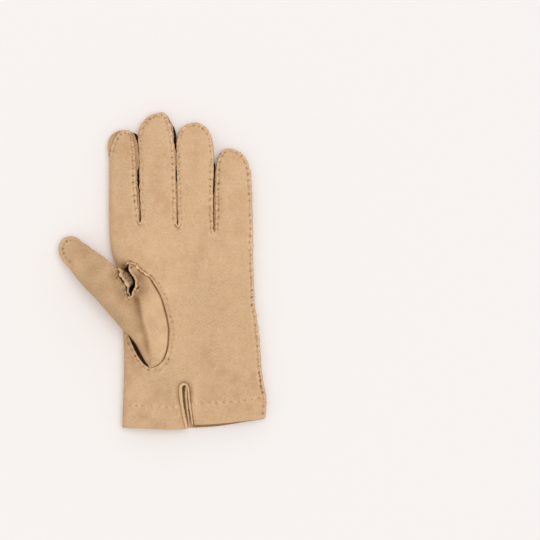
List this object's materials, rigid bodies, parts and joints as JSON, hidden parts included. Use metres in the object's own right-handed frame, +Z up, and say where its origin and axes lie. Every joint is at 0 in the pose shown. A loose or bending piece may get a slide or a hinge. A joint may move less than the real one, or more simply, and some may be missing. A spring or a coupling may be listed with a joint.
{
  "type": "suede glove",
  "caption": "Dress glove for the left hand in plain suede, lying palm up, with sewn fingers and fourchettes, a set-in thumb with its quirk, and a bound wrist vent.",
  "frame": {"origin": "middle of the glove's outline, on the surface that its back lies on", "axes": "+X to the little finger's side, +Y towards the fingertips, +Z up out of the palm"},
  "size_m": [0.161, 0.2446, 0.0257],
  "materials": {
    "suede": "matt suede with a short soft nap",
    "suede_side": "matt suede, a little darker in the clefts",
    "suede_binding": "matt suede, turned over an edge"
  },
  "bodies": {
    "root": {"trank": "suede", "fourchette_index_middle": "suede_side", "fourchette_middle_ring": "suede_side", "fourchette_ring_little": "suede_side", "thumb": "suede", "thumb_quirk": "suede_side", "vent_binding": "suede_binding"}
  },
  "joints": []
}
